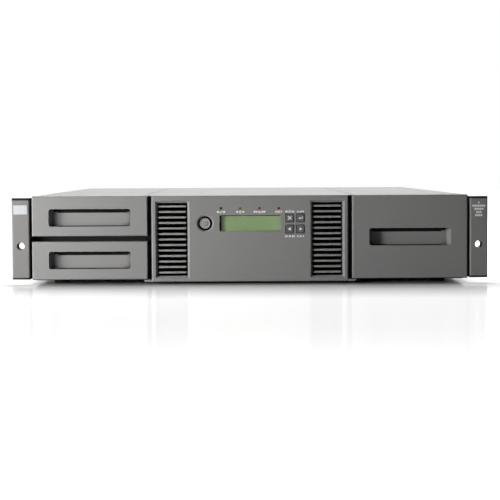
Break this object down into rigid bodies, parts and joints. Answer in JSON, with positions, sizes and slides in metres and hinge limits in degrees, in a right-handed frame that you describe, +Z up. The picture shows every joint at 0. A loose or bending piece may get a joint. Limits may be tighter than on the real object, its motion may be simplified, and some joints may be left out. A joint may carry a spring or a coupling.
{
  "type": "data tape library",
  "caption": "Rack-mount tape library with two pull-out cartridge magazines, a mailslot, a display panel and a rail-borne cartridge picker serving a removable tape drive.",
  "frame": {"origin": "middle of the footprint, on the surface that the feet stand on", "axes": "+X across the front to the right, +Y from the front panels to the rear, +Z up"},
  "size_m": [0.4826, 0.69, 0.0896],
  "materials": {
    "graphite_plastic": "fine-grained moulded plastic",
    "button_plastic": "satin moulded plastic",
    "sheet_steel": "pale coated steel sheet",
    "black_steel": "black powder coat",
    "screw_steel": "zinc-plated",
    "rubber": "matt",
    "window": "clear acrylic",
    "lcd": "green liquid-crystal panel",
    "circuit_board": "solder mask",
    "led_ready": "unlit green",
    "led_clean": "unlit amber",
    "led_attention": "unlit orange",
    "led_error": "unlit red",
    "magazine_plastic": "moulded plastic",
    "mechanism_steel": "stamped and zinc-plated",
    "mechanism_plastic": "glass-filled plastic",
    "gear_plastic": "white acetal",
    "motor_case": "satin black",
    "gripper_plastic": "yellow acetal",
    "reader_plastic": "black with a red window",
    "drive_metal": "plated sheet",
    "supply_metal": "plated sheet",
    "black_plastic": "satin",
    "socket_metal": "nickel-plated"
  },
  "bodies": {
    "library": {"base_pan": "sheet_steel", "top_cover": "sheet_steel", "cover_screws": "screw_steel", "rear_panel": "sheet_steel", "front_frame": "black_steel", "centre_bezel": "graphite_plastic", "left_vent_grille": "graphite_plastic", "right_vent_grille": "graphite_plastic", "display_window": "window", "display_module": "lcd", "front_panel_board": "circuit_board", "ready_led": "led_ready", "clean_led": "led_clean", "attention_led": "led_attention", "error_led": "led_error", "left_ear_cover": "graphite_plastic", "right_ear_cover": "graphite_plastic", "rack_brackets": "black_steel", "rubber_feet": "rubber", "magazine_guides": "black_plastic", "carriage_rails": "mechanism_steel", "drive_rack": "gear_plastic", "power_supply_case": "supply_metal", "power_inlet": "black_plastic", "controller_board": "circuit_board", "rear_ports": "socket_metal", "drive_bay": "mechanism_steel"},
    "left_magazine": {"left_magazine_shell": "magazine_plastic", "left_magazine_cells": "magazine_plastic", "left_magazine_panel": "graphite_plastic"},
    "mailslot": {"mailslot_panel": "graphite_plastic", "mailslot_tray": "magazine_plastic"},
    "right_magazine": {"right_magazine_shell": "magazine_plastic", "right_magazine_cells": "magazine_plastic", "right_magazine_panel": "graphite_plastic"},
    "power_button": {"power_button": "button_plastic"},
    "cancel_button": {"cancel_button": "button_plastic"},
    "enter_button": {"enter_button": "button_plastic"},
    "previous_button": {"previous_button": "button_plastic"},
    "next_button": {"next_button": "button_plastic"},
    "carriage": {"carriage_plate": "mechanism_plastic", "carriage_motor": "motor_case"},
    "carriage_pinion": {"carriage_pinion": "gear_plastic"},
    "turntable": {"turntable": "mechanism_steel", "turn_motor": "motor_case", "lift_posts": "mechanism_steel", "lift_motor": "motor_case"},
    "turn_pinion": {"turn_pinion": "gear_plastic"},
    "lift_screw": {"lift_screw": "mechanism_steel"},
    "lift": {"lift_frame": "mechanism_plastic", "picker_motor": "motor_case", "barcode_reader": "reader_plastic"},
    "picker_tray": {"picker_tray": "mechanism_plastic"},
    "gripper": {"gripper": "gripper_plastic"},
    "drive": {"drive_case": "drive_metal", "drive_front": "black_plastic", "drive_handle": "black_plastic", "drive_thumbscrews": "screw_steel"},
    "drive_fan": {"drive_fan": "black_plastic"},
    "supply_fan": {"power_supply_fan": "black_plastic"}
  },
  "joints": [
    {"name": "left_magazine_slide", "type": "slide", "parent": "library", "child": "left_magazine", "axis": [0, -1, 0], "range_m": [0, 0.4]},
    {"name": "mailslot_slide", "type": "slide", "parent": "left_magazine", "child": "mailslot", "axis": [0, -1, 0], "range_m": [0, 0.112]},
    {"name": "right_magazine_slide", "type": "slide", "parent": "library", "child": "right_magazine", "axis": [0, -1, 0], "range_m": [0, 0.4]},
    {"name": "power_button_press", "type": "slide", "parent": "library", "child": "power_button", "axis": [0, 1, 0], "range_m": [0, 0.001], "stiffness_N_per_m": 600},
    {"name": "cancel_button_press", "type": "slide", "parent": "library", "child": "cancel_button", "axis": [0, 1, 0], "range_m": [0, 0.001], "stiffness_N_per_m": 600},
    {"name": "enter_button_press", "type": "slide", "parent": "library", "child": "enter_button", "axis": [0, 1, 0], "range_m": [0, 0.001], "stiffness_N_per_m": 600},
    {"name": "previous_button_press", "type": "slide", "parent": "library", "child": "previous_button", "axis": [0, 1, 0], "range_m": [0, 0.001], "stiffness_N_per_m": 600},
    {"name": "next_button_press", "type": "slide", "parent": "library", "child": "next_button", "axis": [0, 1, 0], "range_m": [0, 0.001], "stiffness_N_per_m": 600},
    {"name": "carriage_travel", "type": "slide", "parent": "library", "child": "carriage", "axis": [0, 1, 0], "range_m": [-0.15825, 0.15825]},
    {"name": "carriage_pinion_spin", "type": "hinge", "parent": "carriage", "child": "carriage_pinion", "pos_m": [-0.075, -0.15275, 0.006], "axis": [0, 0, 1], "continuous": true},
    {"name": "turntable_turn", "type": "hinge", "parent": "carriage", "child": "turntable", "pos_m": [0, -0.08875, 0.009], "axis": [0, 0, 1], "range_deg": [-90, 90]},
    {"name": "turn_pinion_spin", "type": "hinge", "parent": "turntable", "child": "turn_pinion", "pos_m": [-0.0635, -0.08875, 0.0075], "axis": [0, 0, 1], "continuous": true},
    {"name": "lift_travel", "type": "slide", "parent": "turntable", "child": "lift", "axis": [0, 0, 1], "range_m": [0, 0.0488]},
    {"name": "lift_screw_spin", "type": "hinge", "parent": "turntable", "child": "lift_screw", "pos_m": [0.0645, -0.08875, 0.05], "axis": [0, 0, 1], "continuous": true},
    {"name": "tray_slide", "type": "slide", "parent": "lift", "child": "picker_tray", "axis": [0, 1, 0], "range_m": [0, 0.046]},
    {"name": "gripper_slide", "type": "slide", "parent": "picker_tray", "child": "gripper", "axis": [0, 1, 0], "range_m": [0, 0.1013]},
    {"name": "drive_slide", "type": "slide", "parent": "library", "child": "drive", "axis": [0, 1, 0], "range_m": [0, 0.15]},
    {"name": "drive_fan_spin", "type": "hinge", "parent": "drive", "child": "drive_fan", "pos_m": [0.042, 0.32, 0.0635], "axis": [0, 1, 0], "continuous": true},
    {"name": "supply_fan_spin", "type": "hinge", "parent": "library", "child": "supply_fan", "pos_m": [0.186, 0.32, 0.0396], "axis": [0, 1, 0], "continuous": true}
  ],
  "couplings": [
    {"joint": "carriage_pinion_spin", "follows": "carriage_travel", "rad_per_m": 125},
    {"joint": "turn_pinion_spin", "follows": "turntable_turn", "ratio": 6.9375},
    {"joint": "lift_screw_spin", "follows": "lift_travel", "rad_per_m": 785.4},
    {"joint": "gripper_slide", "follows": "tray_slide", "ratio": 2.2}
  ]
}
